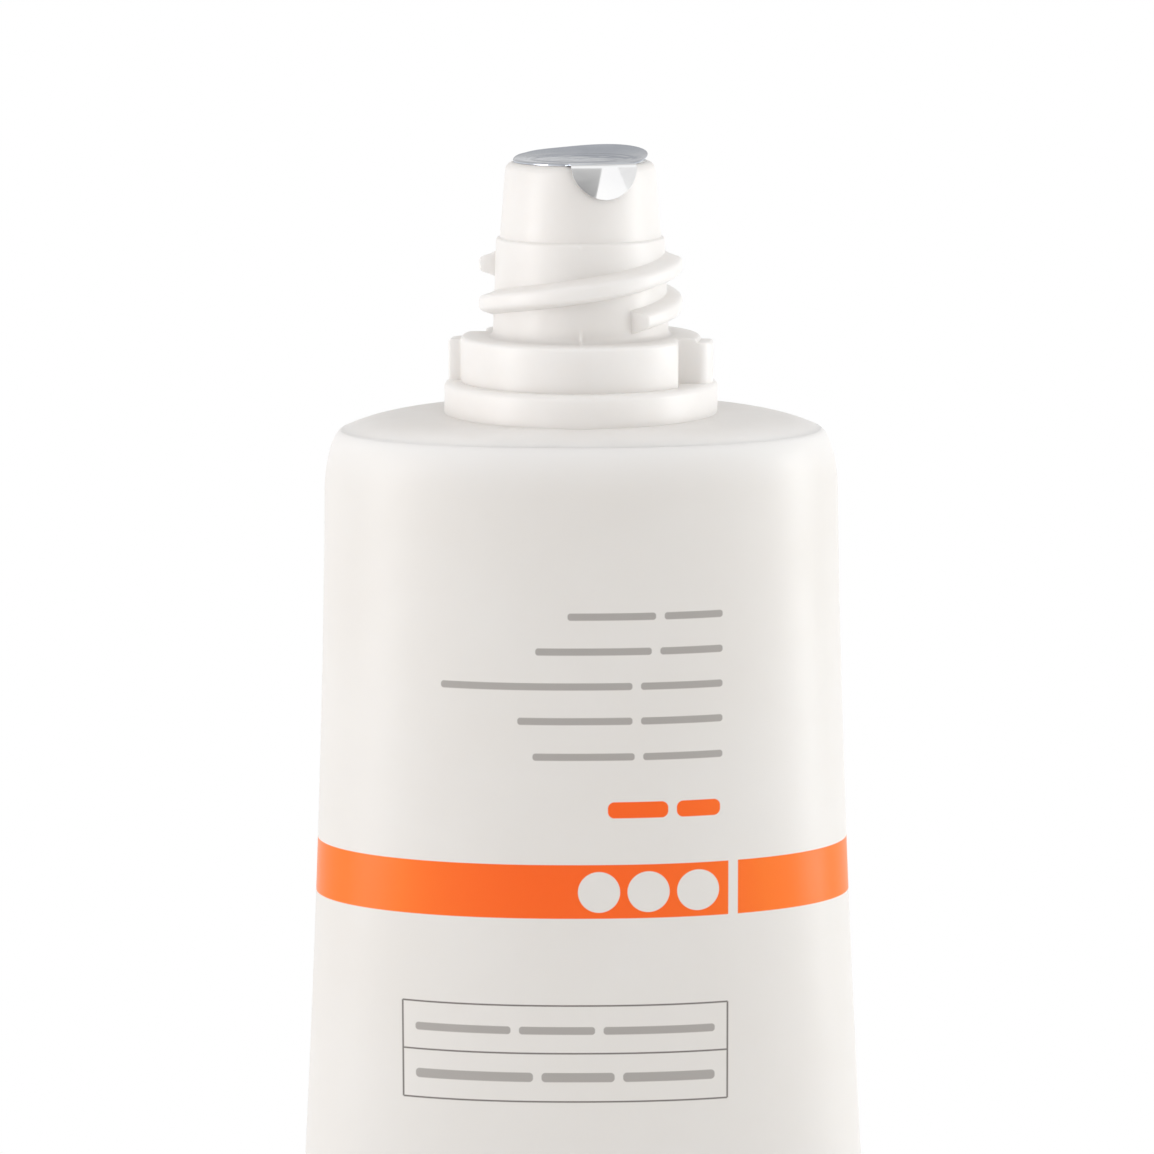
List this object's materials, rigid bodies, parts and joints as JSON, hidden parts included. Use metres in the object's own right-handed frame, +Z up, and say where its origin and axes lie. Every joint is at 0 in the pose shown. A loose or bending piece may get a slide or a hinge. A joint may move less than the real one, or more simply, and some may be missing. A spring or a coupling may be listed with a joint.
{
  "type": "squeeze tube",
  "caption": "Oval squeeze tube with a crimped end, a threaded neck with cap stops, and a nozzle sealed by a peel-off foil with a pull tab.",
  "frame": {"origin": "middle of the crimped end, the lowest point when the tube stands nozzle up", "axes": "+Z up the axis of the tube to the nozzle, +X across the broad front, -Y out of the printed front"},
  "size_m": [0.0638, 0.0316, 0.1567],
  "materials": {
    "sleeve_plastic": "satin",
    "head_plastic": "satin",
    "seal_film": "satin",
    "foil": "satin",
    "cream": "gloss"
  },
  "bodies": {
    "tube": {"tube_sleeve": "sleeve_plastic", "tube_head": "head_plastic", "seal_film": "seal_film", "cream": "cream"},
    "foil": {"seal_foil": "foil"},
    "tab": {"pull_tab": "foil"}
  },
  "joints": [
    {"name": "foil_peel", "type": "hinge", "parent": "tube", "child": "foil", "pos_m": [-0.00199, 0.00613, 0.15545], "axis": [-0.9511, -0.309, 0], "range_deg": [0, 110]},
    {"name": "tab_lift", "type": "hinge", "parent": "foil", "child": "tab", "pos_m": [0.00209, -0.00642, 0.1556], "axis": [-0.9511, -0.309, 0], "range_deg": [0, 150]}
  ]
}
